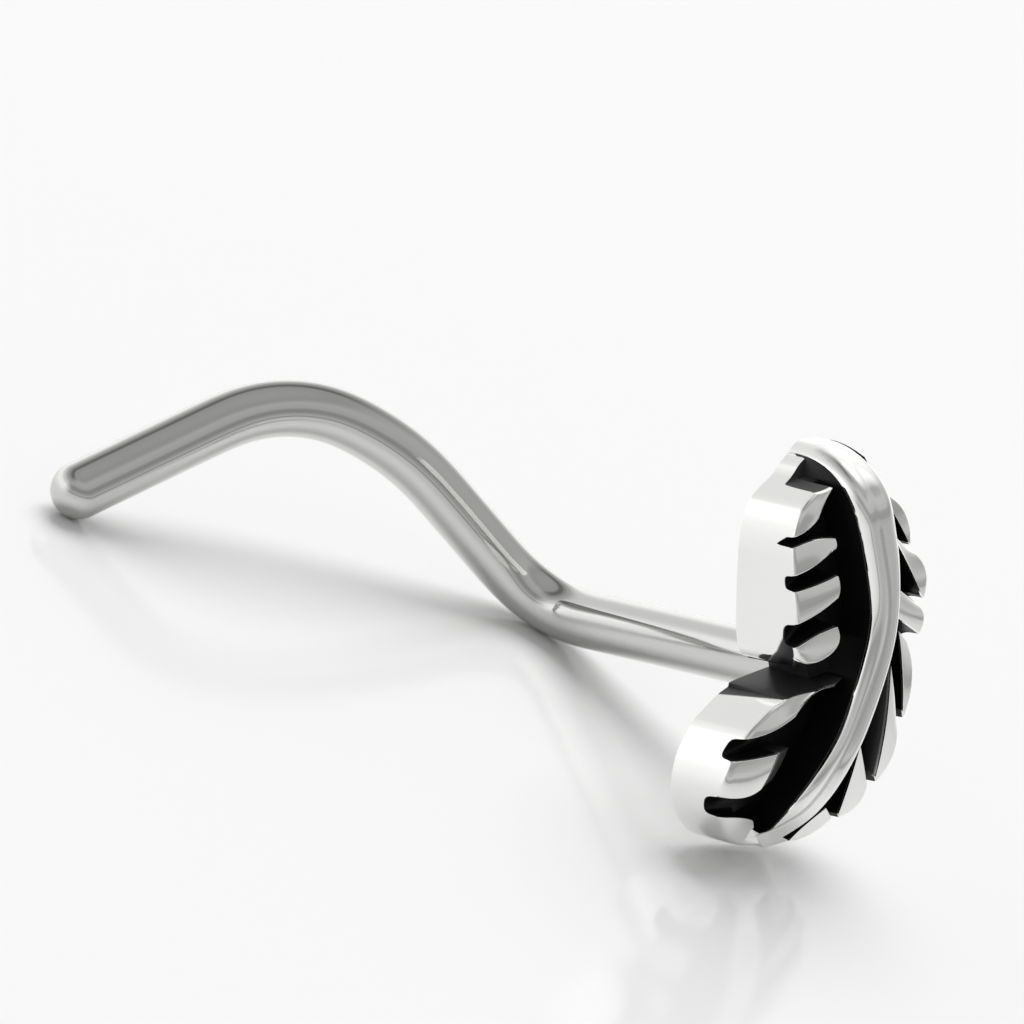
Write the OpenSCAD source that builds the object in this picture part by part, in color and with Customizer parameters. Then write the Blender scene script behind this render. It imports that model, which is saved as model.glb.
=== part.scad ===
// Nose screw: a cast feather head on a bent wire, laid down as it rests on a table.
// The head is drawn standing in its own frame: x points out of its face, y across to the
// feather's right, z up the feather, with the post's root in the middle of its flat back.

/* [Wire] */
// Thickness of the wire, 20 gauge
wire_d = 0.8; // [0.6:0.05:1]
// Straight post, from the head's back to the first bend
post_l = 4.53; // [3.5:0.01:7]
// Radius of the first bend, along the middle of the wire
post_bend_r = 1.1; // [0.9:0.05:1.5]
// Angle of the first bend
post_bend = 75; // [60:1:90]
// Direction of the first bend round the post, 0 up the feather and -90 to its left
post_bend_turn = -37.3; // [-60:0.1:-20]
// Straight stretch after the first bend
rise_l = 1.53; // [1:0.05:2.5]
// Direction of the hook's curve, seen along the wire that rises to it
hook_turn = -102.1; // [-120:0.1:-80]
// Radius of the hook's wide curve
hook_wide_r = 3.99; // [3:0.01:5]
// Angle of the hook's wide curve
hook_wide_bend = 19; // [10:0.1:30]
// Radius of the hook's tight curve
hook_tight_r = 2.39; // [1.8:0.01:3.2]
// Angle of the hook's tight curve
hook_tight_bend = 51.4; // [35:0.1:60]
// Straight tail, up to the middle of its round tip
tail_l = 2.26; // [1.5:0.01:3]

/* [Head] */
// Height of the head's side wall
wall_h = 1.14; // [0.95:0.01:1.4]
// Height of the quill above the wall's edge
quill_h = 0.38; // [0.25:0.01:0.45]
// Half the width of the quill in the middle of the feather
quill_half = 0.29; // [0.22:0.01:0.32]
// Depth of the creased line along the quill
crease_d = 0.03; // [0.02:0.01:0.05]
// Slope of the barbs' tops where they leave the wall
barb_slope = 0.26; // [0.1:0.01:0.35]
// Depth of the channels beside the quill, below the wall's edge
channel_d = 0.38; // [0.25:0.01:0.5]
// How fast the face bows back below the split
bow_low = 0.2; // [0.1:0.01:0.25]
// How fast the face bows back near the quill's upper end
bow_high = 0.3; // [0.1:0.01:0.35]

/* [Resting place] */
// Roll about the line of the post, that brings the wire's tip down to the table
rest_side = 8.91; // [-20:0.01:20]
// Lean back of the head's face, that brings the first bend down to the table
rest_lean = -22.4; // [-40:0.01:0]

/* [Hidden] */
$fn = 48;
silver = [0.78, 0.78, 0.79];

// Shift of the laid part that puts the middle of its box's bottom at the origin
rest_place = [3.08, 3.03, 2.242];
// How deep the wire's end sits in the head
weld_depth = 0.3;
// Straight stretch between the hook's two curves
hook_pause = 0.2;
// How far a straight runs into the bends, and how much thicker the bends are
overlap = 0.02;
hair = 0.001;

// Middle of the quill, from its rolled upper end to the tip: the four points of a cubic curve
quill = [[-0.05, 3.24], [-0.12, 1.11], [1.15, 1.525], [-1.42, -2.165]];
quill_top = quill[0].y;
quill_end = quill[3].y;
// Half width of the quill at heights up the feather, as a share of the width in the middle
quill_taper = [[quill_end, 0.36], [-1.9, 0.48], [-0.8, 0.68], [0.3, 0.9], [1.6, 1], [2.9, 1.03],
               [quill_top, 0.88]];
// Share of the quill's height that is left at heights up the feather
quill_fade = [[quill_end, 0.25], [-1.6, 0.85], [-1.1, 1], [quill_top, 1]];
// The upper end rolls over from the first height, down to the second above the back,
// and its left corner is cut by the third
roll_start = 2.6;
roll_back = 0.36;
corner_cut = 0.15;
// Drop from the quill's two ridges to its edges
quill_edge_drop = 0.08;
// Plan width of the steep walls beside barbs and quill
wall_w = 0.02;
// The face's rim bows back below the first height and above the second, but keeps the last
bow_from = [-0.6, 2.3];
rim_least = 0.3;
// How fast the slope of the barbs' tops flattens out
barb_flatten = 0.08;
// Height of the floor in the pocket at the feather's upper left
pocket_h = 0.36;
// Length over which a groove's floor slopes from the outline down to the channel
groove_run = 0.5;

// The barbs' edges, upper then lower for each barb, from the top of the feather to its tip.
// Columns: height where the row leaves the quill, outline across, outline up,
// bow of the row near the outline, bow near the quill, share of the row where the barb ends
left_edges = [
    [ 2.86, -0.62,  2.84,  0.00,  0.00, 0.55], [ 2.80, -1.24,  2.27, -0.09,  0.09, 0.84],
    [ 2.15, -1.24,  2.09,  0.05,  0.02, 0.66], [ 2.05, -1.24,  1.71, -0.03,  0.10, 0.68],
    [ 1.66, -1.24,  1.37,  0.08,  0.03, 0.66], [ 1.42, -1.24,  0.99,  0.01,  0.04, 0.66],
    [ 0.97, -1.24,  0.72,  0.03,  0.05, 0.68], [ 0.60, -1.06,  0.40, -0.08, -0.04, 0.58],
    [ 0.02, -1.72, -0.09,  0.06,  0.00, 0.80], [-0.06, -2.15, -0.47, -0.13,  0.07, 0.82],
    [-0.77, -2.33, -0.72,  0.00,  0.00, 0.46], [-1.19, -2.49, -1.24, -0.05,  0.00, 0.40],
    [-1.60, -2.43, -1.50, -0.08, -0.04, 0.48], [-1.98, -1.80, -2.06,  0.00,  0.00, 0.70]];
right_edges = [
    [ 2.64,  0.45,  2.58,  0.00,  0.00, 0.50], [ 2.16,  0.93,  1.80,  0.00,  0.00, 0.45],
    [ 2.05,  0.90,  1.73,  0.00,  0.00, 0.50], [ 1.43,  1.19,  1.02,  0.00,  0.00, 0.45],
    [ 1.33,  1.03,  0.98,  0.00,  0.00, 0.60], [ 0.96,  1.10,  0.53,  0.00,  0.00, 0.55],
    [ 0.88,  0.87,  0.46,  0.00,  0.00, 0.45], [ 0.19,  0.81, -0.60,  0.00,  0.00, 0.45],
    [ 0.08,  0.67, -0.64,  0.00,  0.00, 0.45], [-0.52,  0.45, -1.47,  0.00,  0.00, 0.45],
    [-0.64,  0.28, -1.50,  0.00,  0.00, 0.45], [-1.15, -0.05, -1.93,  0.00,  0.00, 0.45],
    [-1.28, -0.22, -1.96,  0.00,  0.00, 0.45], [-1.78, -0.78, -2.19,  0.00,  0.00, 0.45]];
// How far each barb's end bulges past the straight line between its edges
left_bellies = [0.12, 0, 0, 0.07, 0.03, 0.06, 0.14];
right_bellies = [0.15, 0.17, 0.12, 0.13, 0.11, 0.12, 0.04];
// Where the outline meets the quill's two ends
left_ends = [[-0.36, 3.06], [-1.57, -2.10]];
right_ends = [[0.25, 3.22], [-1.27, -2.255]];
// Depth of each groove at the outline, below the wall's edge, from the top to the tip
left_grooves = [0.80, 0.33, 0.30, 0.33, 0.36, 0.38, 0.33, 0.06];
right_grooves = [0.10, 0.30, 0.30, 0.28, 0.30, 0.28, 0.25, 0.06];
// The left groove that is cut right through, between the upper and the lower lobe
split = 4;
// Share of the split's width under its upper wall, and under its sloping lower wall
// at the outline and at its inner end
split_upper = 0.02;
split_lower = [0.10, 0.42];
// Shares of a barb's and of a groove's width at which rows are drawn
barb_shares = [0, 0.25, 0.5, 0.75, 1];
groove_shares = [0.07, 0.93];
split_shares = [0.45, 0.55];
// How much longer a barb is in its middle, as a share of its row
end_round = 0.1;
// A row's points on either side count from 0 at the outline to this at the quill's foot
last = 4;
// Points of a row over the quill, as shares of its half width, with their drops below the ridges
quill_columns = [[-1, quill_edge_drop], [-0.5, 0], [0, crease_d], [0.5, 0], [1, quill_edge_drop]];
// Heights of the rows over the quill: round its rolled upper end, then evenly to the tip
roll_steps = 6;
quill_steps = 28;
quill_rows = [for (k = [0 : roll_steps - 1]) mix(roll_start, quill_top, cos(90 * k / roll_steps)),
              for (k = [0 : quill_steps]) mix(roll_start, quill_end, k / quill_steps)];
// How far up the quill the upper lobe's outline is joined across the flat back
back_lag = 0.5;
// Heights that differ by less are the same
same = 0.0001;
// Halvings that find a height on the quill, and the step over which its direction is taken
halvings = 18;
nudge = 0.001;

function mix(a, b, t) = a + (b - a) * t;
function clamp(x) = min(1, max(0, x));
function reversed(v) = [for (k = [len(v) - 1 : -1 : 0]) v[k]];
function cubic(p, t) = pow(1 - t, 3) * p[0] + 3 * pow(1 - t, 2) * t * p[1]
    + 3 * (1 - t) * t * t * p[2] + pow(t, 3) * p[3];

// Share of the quill's curve that lies at a height, found by halving
function quill_share(up, low = 0, high = 1, steps = halvings) =
    let (half = (low + high) / 2)
    steps == 0 ? half
    : cubic(quill, half).y > up ? quill_share(up, half, high, steps - 1)
    : quill_share(up, low, half, steps - 1);
function roll_at(up) = clamp((up - roll_start) / (quill_top - roll_start));

// Place in the face on the quill at a height, x from -1 at its left edge to 1 at its right
function quill_point(up, x) =
    let (share = quill_share(up),
         run = cubic(quill, share + nudge) - cubic(quill, share - nudge),
         half = quill_half * lookup(up, quill_taper))
    cubic(quill, share) + half * x * [-run.y, run.x] / norm(run)
        - [0, corner_cut * pow(max(0, -x) * roll_at(up), 2)];

// Height of the rim, and of the quill's ridges, which fade at the tip and roll over on top
function rim(up) = max(rim_least, wall_h - bow_low * pow(max(0, bow_from[0] - up), 2)
    - bow_high * pow(max(0, up - bow_from[1]), 2));
function crest(up) = mix(roll_back, rim(up) + quill_h * lookup(up, quill_fade),
    sqrt(1 - pow(roll_at(up), 2)));

// A side of the feather: its edges with the two ends, its bellies, its grooves, and its hand
function side(ends, edges, bellies, grooves, hand) = [
    concat([[quill_top, ends[0].x, ends[0].y, 0, 0, edges[0][5]]], edges,
           [[quill_end, ends[1].x, ends[1].y, 0, 0, edges[len(edges) - 1][5]]]),
    bellies, grooves, hand];
left = side(left_ends, left_edges, left_bellies, left_grooves, -1);
right = side(right_ends, right_edges, right_bellies, right_grooves, 1);

// Its stretches between two edges count from the top: even ones are grooves, odd ones barbs
function is_barb(i) = i % 2 == 1;
function is_split(side, i) = side[3] < 0 && i == 2 * split;
function is_pocket(side, i) = side[3] < 0 && i == 0;
function shares(side, i) = is_barb(i) ? barb_shares : is_split(side, i) ? split_shares
    : groove_shares;

// A row's values at share t of its stretch, with the barb's belly and its rounded inner end
function row_values(side, i, t) =
    let (a = side[0][i], b = side[0][i + 1], v = mix(a, b, t),
         run = [b[1] - a[1], b[2] - a[2]], hump = is_barb(i) ? 4 * t * (1 - t) : 0,
         belly = is_barb(i) ? side[1][(i - 1) / 2] * hump * side[3] : 0)
    [v[0], [v[1], v[2]] + belly * [-run.y, run.x] / norm(run), v[3], v[4],
     v[5] + end_round * hump];
// Place in the face at share u of a row, from the outline (0) to the quill's foot (1)
function row_place(side, i, t, u) =
    let (v = row_values(side, i, t), out = v[1],
         foot = quill_point(v[0], side[3] * (1 + wall_w / quill_half)),
         run = foot - out, lift = 2 * side[3] * [run.y, -run.x] / norm(run))
    cubic([out, out + run / 3 + lift * v[2], out + run * 2 / 3 + lift * v[3], foot], u);
// In the split the rows crowd to its two walls, less and less towards the quill
function split_share(t, u) =
    t < 0.5 ? split_upper * t / split_shares[0]
    : 1 - mix(split_lower[0], split_lower[1], clamp(u)) * (1 - t) / (1 - split_shares[1]);

// Height of a row's point over the flat back, d from the outline
function row_h(side, i, t, up, d, inner) =
    let (r = rim(up), top = r + barb_slope * d - barb_flatten * d * d,
         floor_h = is_pocket(side, i) ? pocket_h : r - channel_d)
    inner ? floor_h
    : is_barb(i) ? top
    : is_split(side, i) ? top * max(0, t < 0.5 ? 1 - t / split_shares[0]
        : 1 - (1 - t) / (1 - split_shares[1]))
    : mix(is_pocket(side, i) ? floor_h : r - side[2][i / 2], floor_h, min(1, d / groove_run));

// One row from a side's outline to the quill's foot: its height up the quill and its points
function side_row(side, i, t) =
    let (v = row_values(side, i, t), up = v[0], cut = is_split(side, i),
         end = cut ? row_values(side, i, split_share(t, 1))[4] : v[4],
         length = norm(quill_point(up, side[3]) - v[1]),
         us = [0, end / 2, end, min(end + wall_w / length, (1 + end) / 2), 1])
    [up, [for (k = [0 : last])
        let (fade = clamp(2 * (us[k] - end) / (1 - end)),
             place = row_place(side, i, cut ? mix(split_share(t, us[k] / end), t, fade) : t, us[k]),
             h = min(crest(up), row_h(side, i, t, v[1].y, us[k] * length, k > 2)))
        [h < same ? 0 : h, place.x, place.y]]];
function side_rows(side) = [
    side_row(side, 0, 0),
    for (i = [0 : len(side[0]) - 2]) for (t = shares(side, i)) side_row(side, i, t),
    side_row(side, len(side[0]) - 2, 1)];

// The face's point numbers, row by row, and the triangles of a grid of them
function numbers(first, rows) = [for (k = [0 : len(rows) - 1])
    [for (j = [0 : last]) first + (last + 1) * k + j]];
function grid_faces(grid, face) = [for (k = [0 : len(grid) - 2]) for (j = [0 : last - 1])
    let (a = grid[k][j], b = grid[k + 1][j], c = grid[k + 1][j + 1], d = grid[k][j + 1])
    if (max(face[a].x, face[b].x, face[c].x, face[d].x) > 0) each [[a, d, c], [a, c, b]]];
// Triangles between two lines of points that run down side by side, each [number, height]
function strip_faces(a, b, i = 0, j = 0) =
    i == len(a) - 1 && j == len(b) - 1 ? []
    : j == len(b) - 1 || (i < len(a) - 1 && a[i + 1][1] >= b[j + 1][1])
        ? concat([[a[i][0], b[j][0], a[i + 1][0]]], strip_faces(a, b, i + 1, j))
    : concat([[a[i][0], b[j][0], b[j + 1][0]]], strip_faces(a, b, i, j + 1));
function column(grid, rows, j) = [for (k = [0 : len(grid) - 1]) [grid[k][j], rows[k][0]]];
function line_at(numbers, up) = [for (n = numbers) [n, up]];
function lowered(line) = [for (p = line) [p[0], min(p[1], roll_start - same)]];

// The cast feather: its face, its flat back, and the walls between them
module feather_head() {
    left_rows = side_rows(left);
    right_rows = [for (row = side_rows(right)) [row[0], reversed(row[1])]];
    mid_rows = [for (up = quill_rows) [up, [for (c = quill_columns)
        let (place = quill_point(up, c[0])) [crest(up) - c[1], place.x, place.y]]]];
    face = [for (row = concat(left_rows, mid_rows, right_rows)) each row[1]];
    l = numbers(0, left_rows);
    m = numbers((last + 1) * len(left_rows), mid_rows);
    r = numbers((last + 1) * len(concat(left_rows, mid_rows)), right_rows);
    l_end = l[len(l) - 1];
    m_end = m[len(m) - 1];
    r_end = r[len(r) - 1];
    top = concat(grid_faces(l, face), grid_faces(m, face), grid_faces(r, face),
        strip_faces(column(l, left_rows, last), column(m, mid_rows, 0)),
        strip_faces(column(m, mid_rows, last), column(r, right_rows, 0)));

    // The outline down each side, which on the left turns in and out again round the split
    split_up = (left_edges[2 * split - 1][0] + left_edges[2 * split][0]) / 2;
    left_line = concat(line_at([m[0][1], m[0][0], each reversed(l[0])], quill_top),
        [for (k = [1 : len(l) - 2])
            let (cut = face[l[k][0]].x == 0, upper = left_rows[k][0] > split_up)
            for (j = !cut ? [0] : upper ? [0, 1, 2] : [2, 1, 0])
                [l[k][j], left_rows[k][0] + (upper ? back_lag : 0)]],
        line_at([each l_end, m_end[0], m_end[1]], quill_end));
    right_line = concat(line_at([m[0][3], m[0][4], each r[0]], quill_top),
        [for (k = [1 : len(r) - 2]) [r[k][last], right_rows[k][0]]],
        line_at([each reversed(r_end), m_end[4], m_end[3]], quill_end));
    outline = [for (p = concat([[m[0][2]]], left_line, [[m_end[2]]], reversed(right_line))) p[0]];

    // The back joins both outlines to a line under the quill, which ends past the tip
    foot = [for (k = [0 : len(face) - 1]) face[k].x == 0 ? k : k + len(face)];
    spine = concat(line_at([m[0][2]], quill_top),
        [for (k = [roll_steps : len(m) - 2]) [m[k][2], mid_rows[k][0]]],
        line_at([m_end[2]], quill_end - 1));
    back = concat(strip_faces(lowered(left_line), spine), strip_faces(spine, lowered(right_line)));
    bottom = [for (t = back) [foot[t[2]], foot[t[1]], foot[t[0]]]];
    walls = [for (k = [0 : len(outline) - 1])
        let (a = outline[k], b = outline[(k + 1) % len(outline)])
        each concat(foot[b] == b ? [] : [[a, b, foot[b]]],
                    foot[a] == a ? [] : [[a, foot[b], foot[a]]])];
    polyhedron(concat(face, [for (p = face) [0, p.y, p.z]]), concat(top, bottom, walls));
}

// A straight length of wire, and a bend that carries on from it. The straights run on into the
// bends, which are thicker by a hair
module straight(l) {
    translate([0, 0, -overlap]) cylinder(d = wire_d, h = l + 2 * overlap);
    translate([0, 0, l]) children();
}
module bend(r, angle, turn) {
    rotate([0, 0, turn]) {
        translate([r, 0, 0]) rotate([90, 0, 180]) rotate_extrude(angle = angle)
            translate([r, 0]) circle(d = wire_d + hair);
        translate([r, 0, 0]) rotate([0, angle, 0]) translate([-r, 0, 0]) children();
    }
}

// The post, the rise and the hook with its round tip, bent from one wire
module screw_wire() {
    translate([weld_depth, 0, 0]) rotate([0, -90, 0])
        straight(weld_depth + post_l) bend(post_bend_r, post_bend, post_bend_turn)
        straight(rise_l) bend(hook_wide_r, hook_wide_bend, hook_turn)
        straight(hook_pause) bend(hook_tight_r, hook_tight_bend, 0)
        straight(tail_l) sphere(d = wire_d + hair);
}

module nose_screw() {
    color(silver)
        translate(rest_place) rotate([rest_side, rest_lean, 0]) union() {
            feather_head();
            screw_wire();
        }
}

nose_screw();
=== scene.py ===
# Nose screw of polished sterling silver: a cast feather head on a bent wire
import math
from collections import namedtuple

import bmesh
import bpy
from mathutils import Matrix, Vector


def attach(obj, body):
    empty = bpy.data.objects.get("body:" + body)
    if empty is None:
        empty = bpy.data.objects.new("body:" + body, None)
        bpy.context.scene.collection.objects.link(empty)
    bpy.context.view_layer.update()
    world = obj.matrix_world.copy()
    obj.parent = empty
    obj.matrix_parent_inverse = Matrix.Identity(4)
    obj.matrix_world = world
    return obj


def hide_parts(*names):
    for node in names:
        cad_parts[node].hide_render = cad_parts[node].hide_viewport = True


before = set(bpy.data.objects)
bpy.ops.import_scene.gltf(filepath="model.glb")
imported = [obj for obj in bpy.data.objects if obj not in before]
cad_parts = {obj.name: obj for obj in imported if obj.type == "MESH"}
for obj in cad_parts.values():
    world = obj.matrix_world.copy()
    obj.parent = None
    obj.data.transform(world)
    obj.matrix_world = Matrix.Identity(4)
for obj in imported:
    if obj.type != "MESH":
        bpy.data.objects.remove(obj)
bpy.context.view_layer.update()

# The lie of the part and the camera
# The part is drawn upright in its own frame, in millimetres: x out of the feather's face,
# y across to its right, z up the feather, with the post's root at the origin. It is then
# laid on the table as the solids are, and the camera takes the photograph's view of it.

MM = 0.001
rest_side = math.radians(8.91)
rest_lean = math.radians(-22.4)
rest_place = Vector((3.08, 3.03, 2.242)) * MM
laid = (Matrix.Translation(rest_place) @ Matrix.Rotation(rest_lean, 4, "Y")
        @ Matrix.Rotation(rest_side, 4, "X"))

# Heading of the camera, from square on to the feather's left edge (0) to square on to its face
view_turn = math.radians(48)
# How steeply the post runs down in the photograph, which gives the camera's height
post_fall = 0.225
view_rise = math.asin(post_fall / math.tan(view_turn))
# Scale and size of the photograph, and the pixel at which the post's root lies
mm_per_pixel = 0.0137
photo_pixels = 1024
root_pixel = (804.5, 670.3)
# A long lens, because the photograph shows next to no perspective
lens_mm = 500
sensor_mm = 36
# The camera sees this many times nearer and farther than the part
sight_range = 10

view_right = Vector((math.cos(view_turn), math.sin(view_turn), 0))
view_up = Vector((-math.sin(view_turn) * math.sin(view_rise),
                  math.cos(view_turn) * math.sin(view_rise), math.cos(view_rise)))
view_back = view_right.cross(view_up)
middle = (view_right * (photo_pixels / 2 - root_pixel[0])
          + view_up * (root_pixel[1] - photo_pixels / 2)) * mm_per_pixel
distance = lens_mm * photo_pixels * mm_per_pixel / sensor_mm

camera_data = bpy.data.cameras.new("camera")
camera_data.lens = lens_mm
camera_data.sensor_width = sensor_mm
camera_data.clip_start = distance * MM / sight_range
camera_data.clip_end = distance * MM * sight_range
camera = bpy.data.objects.new("camera", camera_data)
aim = Matrix((view_right, view_up, view_back)).transposed().to_4x4()
aim.translation = (middle + view_back * distance) * MM
camera.matrix_world = laid @ aim
bpy.context.scene.collection.objects.link(camera)
bpy.context.scene.camera = camera

# The screw wire
# One length of drawn sterling silver wire, 20 gauge, bent cold round pins: the straight post,
# a first bend, a short rise, and the hook, whose end is filed round. The root of the post is
# soldered to the head's back, which leaves a small fillet, and the wire is polished.

wire_d = 0.8
post_l = 4.53
post_bend_r = 1.1
post_bend = 75
post_bend_turn = -37.3
rise_l = 1.53
hook_turn = -102.1
hook_wide_r = 3.99
hook_wide_bend = 19
hook_pause = 0.2
hook_tight_r = 2.39
hook_tight_bend = 51.4
tail_l = 2.26
# How far the wire runs into the head, and how wide the solder round it is
solder_depth = 0.3
solder_fillet = 0.16
# Distance between the rings of the mesh, and how often the middle line is smoothed, so that the
# bends run softly into the straights
ring_step = 0.04
soft_passes = 60
wire_sides = 96
fillet_rings = 12
tip_rings = 16
# Points of the mesh that lie closer than this are one
wire_merge = 0.0005
# Width of the patches in the polish. The marks of the buff are finer, and drawn this coarse to show
haze_grain = 0.6


def linear(hex_colour):
    """Turns an sRGB hex colour to the linear colour that a shader takes."""
    channels = [int(hex_colour[k:k + 2], 16) / 255 for k in (1, 3, 5)]
    return [c / 12.92 if c <= 0.04045 else ((c + 0.055) / 1.055) ** 2.4 for c in channels] + [1]


def add_node(tree, kind, inputs=None, **settings):
    """Adds a node, makes its settings, and gives its inputs their values or links."""
    node = tree.nodes.new(kind)
    for name, value in settings.items():
        setattr(node, name, value)
    for name, value in (inputs or {}).items():
        if isinstance(value, bpy.types.NodeSocket):
            tree.links.new(value, node.inputs[name])
        else:
            node.inputs[name].default_value = value
    return node


def polish(tree, brightest, dullest):
    """Roughness of buffed silver, which drifts a little from place to place."""
    place = add_node(tree, "ShaderNodeTexCoord")
    haze = add_node(tree, "ShaderNodeTexNoise",
                    {"Vector": place.outputs["Object"], "Scale": 1 / (haze_grain * MM), "Detail": 3})
    rough = add_node(tree, "ShaderNodeMapRange",
                     {"Value": haze.outputs["Fac"], "From Min": 0.3, "From Max": 0.7,
                      "To Min": brightest, "To Max": dullest})
    return rough.outputs["Result"]


def polished_silver():
    """Drawn sterling silver wire, tumbled until it mirrors: a little greyer than buffed silver."""
    material = bpy.data.materials.new("polished_sterling_silver")
    material.use_nodes = True
    tree = material.node_tree
    tree.nodes.clear()
    shader = add_node(tree, "ShaderNodeBsdfPrincipled",
                      {"Base Color": linear("#D0D0CE"), "Metallic": 1,
                       "Roughness": polish(tree, 0.05, 0.1)})
    add_node(tree, "ShaderNodeOutputMaterial", {"Surface": shader.outputs["BSDF"]})
    return material


def wire_route():
    """Points along the middle of the wire, each with its thickness as a share of the wire's."""
    place = Matrix.Rotation(math.radians(-90), 4, "Y")
    middle_line = [place.to_translation()]

    def straight(length):
        nonlocal place
        steps = round(length / ring_step)
        for _ in range(steps):
            place = place @ Matrix.Translation((0, 0, length / steps))
            middle_line.append(place.to_translation())

    def bend(radius, angle, turn):
        nonlocal place
        place = place @ Matrix.Rotation(math.radians(turn), 4, "Z")
        steps = round(radius * math.radians(angle) / ring_step)
        arm = Matrix.Translation((radius, 0, 0))
        step = arm @ Matrix.Rotation(math.radians(angle / steps), 4, "Y") @ arm.inverted()
        for _ in range(steps):
            place = place @ step
            middle_line.append(place.to_translation())

    straight(post_l)
    bend(post_bend_r, post_bend, post_bend_turn)
    straight(rise_l)
    bend(hook_wide_r, hook_wide_bend, hook_turn)
    straight(hook_pause)
    bend(hook_tight_r, hook_tight_bend, 0)
    straight(tail_l)
    for _ in range(soft_passes):
        middle_line[1:-1] = [(a + 2 * b + c) / 4
                             for a, b, c in zip(middle_line, middle_line[1:], middle_line[2:])]

    fillet_share = solder_fillet / (wire_d / 2)
    route = [(Vector((solder_depth, 0, 0)), 1 + fillet_share)]
    for k in range(fillet_rings + 1):
        turn = math.radians(90 * k / fillet_rings)
        route.append((Vector((solder_fillet * (math.cos(turn) - 1), 0, 0)),
                      1 + fillet_share * (1 - math.sin(turn))))
    route += [(point, 1.0) for point in middle_line if point.x < -solder_fillet - ring_step / 2]
    for k in range(1, tip_rings + 1):
        turn = math.radians(90 * k / tip_rings)
        route.append((place @ Vector((0, 0, wire_d / 2 * math.sin(turn))), math.cos(turn)))
    return route


def wire_tree(material):
    """Sweeps a round wire along a line of edges, thinner where the line's points say so."""
    tree = bpy.data.node_groups.new("bent_wire", "GeometryNodeTree")
    face = tree.interface
    face.new_socket("Route", in_out="INPUT", socket_type="NodeSocketGeometry")
    face.new_socket("Wire radius", in_out="INPUT", socket_type="NodeSocketFloat")
    face.new_socket("Sides", in_out="INPUT", socket_type="NodeSocketInt")
    face.new_socket("Wire", in_out="OUTPUT", socket_type="NodeSocketGeometry")
    given = add_node(tree, "NodeGroupInput")
    share = add_node(tree, "GeometryNodeInputNamedAttribute", {"Name": "share"}, data_type="FLOAT")
    route = add_node(tree, "GeometryNodeMeshToCurve", {"Mesh": given.outputs["Route"]})
    ring = add_node(tree, "GeometryNodeCurvePrimitiveCircle",
                    {"Resolution": given.outputs["Sides"], "Radius": given.outputs["Wire radius"]})
    swept = add_node(tree, "GeometryNodeCurveToMesh",
                     {"Curve": route.outputs["Curve"], "Profile Curve": ring.outputs["Curve"],
                      "Scale": share.outputs["Attribute"], "Fill Caps": True})
    closed = add_node(tree, "GeometryNodeMergeByDistance",
                      {"Geometry": swept.outputs["Mesh"], "Distance": wire_merge * MM})
    smooth = add_node(tree, "GeometryNodeSetShadeSmooth", {"Geometry": closed.outputs["Geometry"]})
    real = add_node(tree, "GeometryNodeRealizeInstances", {"Geometry": smooth.outputs["Geometry"]})
    covered = add_node(tree, "GeometryNodeSetMaterial",
                       {"Geometry": real.outputs["Geometry"], "Material": material})
    add_node(tree, "NodeGroupOutput", {"Wire": covered.outputs["Geometry"]})
    return tree


def grown(piece, tree, values):
    """The plain mesh that a piece's node tree makes, with the tree's inputs set by name."""
    modifier = piece.modifiers.new(tree.name, "NODES")
    modifier.node_group = tree
    sockets = {s.name: s.identifier for s in tree.interface.items_tree if s.in_out == "INPUT"}
    for name, value in values.items():
        modifier[sockets[name]] = value
    graph = bpy.context.evaluated_depsgraph_get()
    made = bpy.data.meshes.new_from_object(piece.evaluated_get(graph), depsgraph=graph)
    piece.modifiers.remove(modifier)
    return made


route = wire_route()
links = [(k, k + 1) for k in range(len(route) - 1)]
line = bpy.data.meshes.new("wire_route")
line.from_pydata([laid @ (point * MM) for point, _ in route], links, [])
line.attributes.new("share", "FLOAT", "POINT").data.foreach_set("value", [s for _, s in route])
wire = bpy.data.objects.new("screw_wire", line)
bpy.context.scene.collection.objects.link(wire)
wire.data = grown(wire, wire_tree(polished_silver()),
                  {"Wire radius": wire_d / 2 * MM, "Sides": wire_sides})
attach(wire, "root")
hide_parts("nose_screw")

# The feather head
# Sterling silver, cast in one piece with a flat back: a raised quill with a crease along it,
# and on either side a vane of barbs, cut apart by grooves. The left vane is split in two. The
# deep places are blackened with liver of sulphur, and the buff brings back what it reaches.
# The grey along the quill's crease is painted shade, and the lighter grey in the open pocket and
# the split is painted light.

# Height of the right wall, how fast it falls off towards the feather's two ends and from which
# heights up the feather, and its least height
wall_h = 1.14
bow_low = 0.2
bow_high = 0.3
bow_low_from = -0.6
bow_high_from = 2.3
rim_least = 0.3
# Height of the quill over the wall's edge, and how far its edges lie below its two ridges
quill_h = 0.38
quill_left_drop = 0.10
quill_right_drop = 0.07
# How much lower still the left edge lies near the top, from which height up, and over what run
quill_top_drop = 0.10
top_drop_from = 2.0
top_drop_run = 1.1
# Where the quill starts to roll over at its top, how high over the back it ends, and how far
# the rolled end's left corner is cut down
roll_start = 2.2
roll_back = 0.36
corner_cut = 0.15
# Depth of the crease, how grey the painted shade along it is at most, and how far that shade
# reaches to either side, as a share of half the quill's width
crease_d = 0.012
crease_painted_shade = 0.435
crease_shade_wide = 0.6
# The least share of that half that a slope of the crease is reckoned with
crease_least = 0.01
# Slope of the barbs' tops as they leave the wall, and how fast it flattens
barb_slope = 0.26
barb_flatten = 0.08
# Radius of the polished edges of the barbs and of the quill, and how far the barbs are crowned
barb_edge = 0.018
quill_edge = 0.02
barb_crown = 0.012
# Depth of the channels beside the quill, and the run over which a groove falls to them
channel_d = 0.38
groove_run = 0.5
# Height of the floor of the pocket beside the quill's rolled end
pocket_h = 0.36
# How far below an edge the black begins
black_below = 0.03
# Barbs over the split, and the shares of its width that each of its two walls takes up, and that
# the upper lobe's corner does
split = 4
split_wall = 0.45
split_corner = 0.15
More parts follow.
